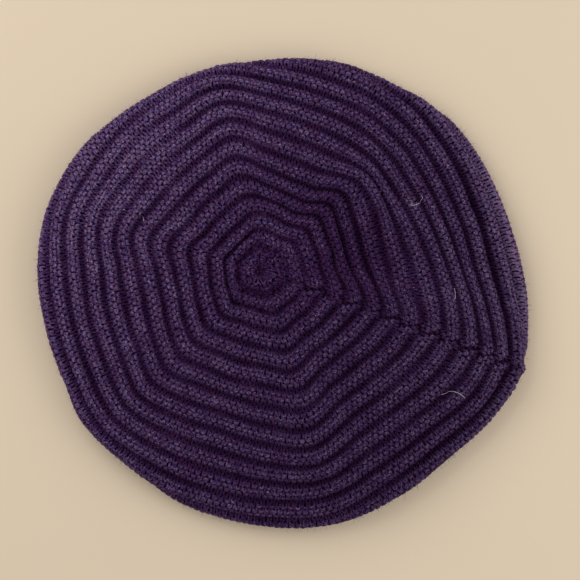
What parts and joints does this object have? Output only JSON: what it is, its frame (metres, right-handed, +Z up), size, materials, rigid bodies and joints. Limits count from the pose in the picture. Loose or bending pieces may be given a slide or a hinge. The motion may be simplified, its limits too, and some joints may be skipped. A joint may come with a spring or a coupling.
{
  "type": "knit beret",
  "caption": "Soft knitted beret lying flat, its crown in raised welts that run round in a rounded polygon, folded under at the rim to a ribbed headband.",
  "frame": {"origin": "middle of the outline, on the surface that the hat lies on", "axes": "+Z up through the crown, +Y towards the top of the picture and +X towards its right"},
  "size_m": [0.2786, 0.2661, 0.0235],
  "materials": {
    "plum_wool": "matt heathered wool, knitted in welts",
    "band_wool": "matt heathered wool, knitted in ribs"
  },
  "bodies": {
    "root": {"crown": "plum_wool", "headband": "band_wool"}
  },
  "joints": []
}
